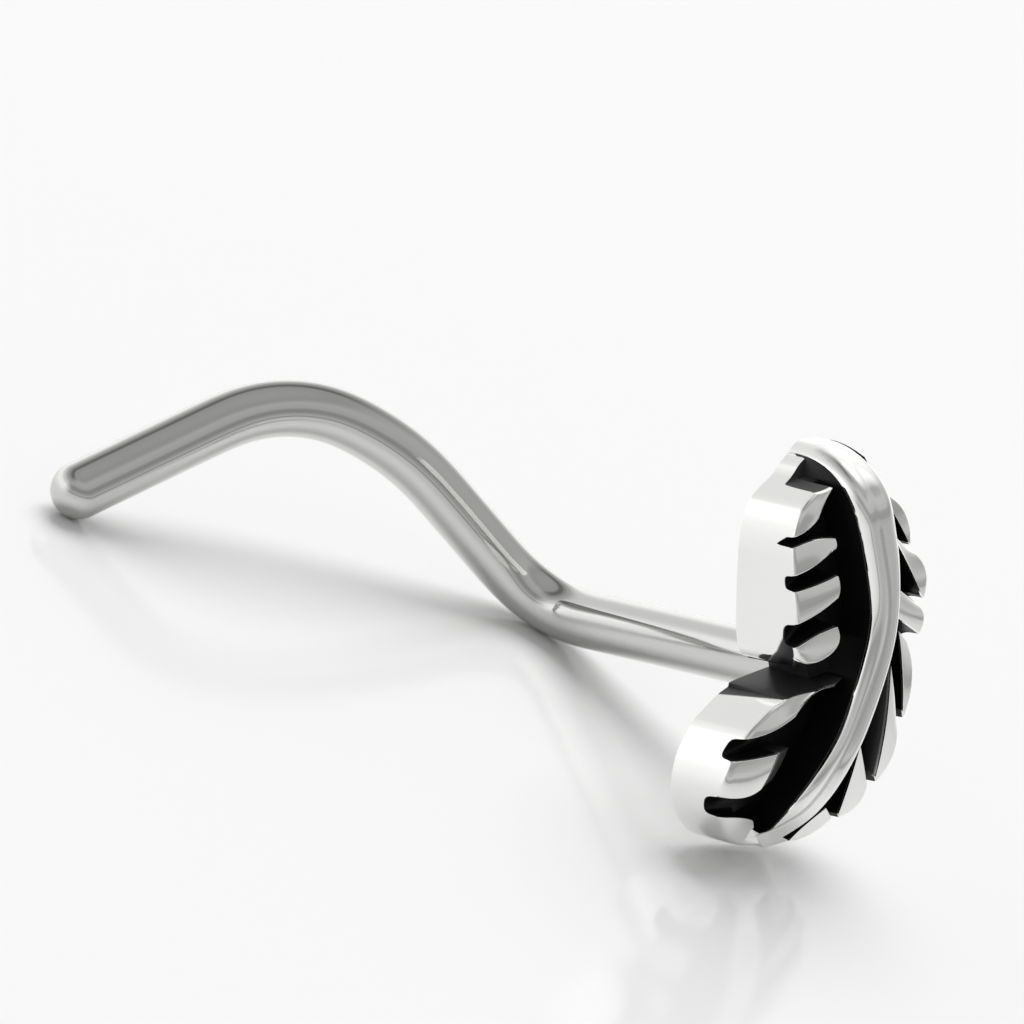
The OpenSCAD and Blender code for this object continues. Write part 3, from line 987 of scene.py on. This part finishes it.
# The lamp over the table lights the card to white, and the silver doesn't mirror it
lamp_data = bpy.data.lights.new("lamp", "SUN")
lamp_data.energy = 2.15
lamp_data.angle = math.radians(50)
lamp = bpy.data.objects.new("lamp", lamp_data)
lamp.rotation_euler = (math.radians(-22), math.radians(-26), 0)
lamp.visible_glossy = False
bpy.context.scene.collection.objects.link(lamp)

world = bpy.data.worlds.new("tent")
bpy.context.scene.world = world
world.use_nodes = True
sky = world.node_tree
sky.nodes.clear()
where = add_node(sky, "ShaderNodeTexCoord")
heading = add_node(sky, "ShaderNodeSeparateXYZ", {"Vector": where.outputs["Generated"]})


def tent_wall(stops):
    """Brightness of one side of the tent at heights from the table (0) to straight up (1)."""
    ramp = add_node(sky, "ShaderNodeValToRGB", {"Fac": heading.outputs["Z"]})
    ramp.color_ramp.interpolation = "EASE"
    first, last = ramp.color_ramp.elements
    first.position, first.color = stops[0][0], [stops[0][1]] * 3 + [1]
    last.position, last.color = stops[-1][0], [stops[-1][1]] * 3 + [1]
    for position, grey in stops[1:-1]:
        ramp.color_ramp.elements.new(position).color = [grey] * 3 + [1]
    return ramp.outputs["Color"]


hook_side = tent_wall([(0, 1.3), (0.2, 1.25), (0.37, 0.85), (0.57, 0.5), (0.68, 0.34),
                       (0.73, 0.2), (0.79, 0.2), (0.86, 0.42), (1, 0.46)])
head_side = tent_wall([(0, 0.36), (0.03, 0.38), (0.09, 0.58), (0.2, 0.45), (0.32, 0.34),
                       (0.42, 0.36), (0.55, 0.52), (0.75, 0.56), (0.9, 0.42), (1, 0.46)])
from_hook = add_node(sky, "ShaderNodeMapRange",
                     {"Value": heading.outputs["X"], "From Min": -0.4, "From Max": 0.3},
                     interpolation_type="SMOOTHSTEP")
walls = add_node(sky, "ShaderNodeMix",
                 {0: from_hook.outputs["Result"], 6: hook_side, 7: head_side}, data_type="RGBA")
glow = add_node(sky, "ShaderNodeBackground", {"Color": walls.outputs[2], "Strength": 1.0})
add_node(sky, "ShaderNodeOutputWorld", {"Surface": glow.outputs["Background"]})
bpy.context.scene.view_settings.view_transform = "Standard"

# A round soft box behind the feather's left whitens the quill's rolled end. It fades towards its
# own rim, so that no edge shows in the silver, and lights the head alone.
box_heading = math.radians(146)
box_height = math.radians(54)
box_distance = 0.045
box_target = laid @ (Vector((1.2, 0, 3)) * MM)
box_way = Vector((math.cos(box_heading) * math.cos(box_height),
                  math.sin(box_heading) * math.cos(box_height), math.sin(box_height)))
box_data = bpy.data.lights.new("soft_box", "AREA")
box_data.shape = "DISK"
box_data.size = 0.08
box_data.energy = 0.014
box_data.use_nodes = True
cloth = box_data.node_tree
cloth.nodes.clear()
spot = add_node(cloth, "ShaderNodeNewGeometry")
off_middle = add_node(cloth, "ShaderNodeVectorMath", {0: spot.outputs["Parametric"]},
                      operation="DISTANCE")
off_middle.inputs[1].default_value = (0.5, 0.5, 0)
fade = add_node(cloth, "ShaderNodeMapRange",
                {"Value": off_middle.outputs["Value"], "From Min": 0.5, "From Max": 0.1},
                interpolation_type="SMOOTHSTEP")
shine = add_node(cloth, "ShaderNodeEmission", {"Strength": fade.outputs["Result"]})
add_node(cloth, "ShaderNodeOutputLight", {"Surface": shine.outputs["Emission"]})
soft_box = bpy.data.objects.new("soft_box", box_data)
soft_box.location = box_target + box_distance * box_way
soft_box.rotation_euler = box_way.to_track_quat("Z", "Y").to_euler()
bpy.context.scene.collection.objects.link(soft_box)
lit = bpy.data.collections.new("lit_by_soft_box")
lit.objects.link(head)
soft_box.light_linking.receiver_collection = lit
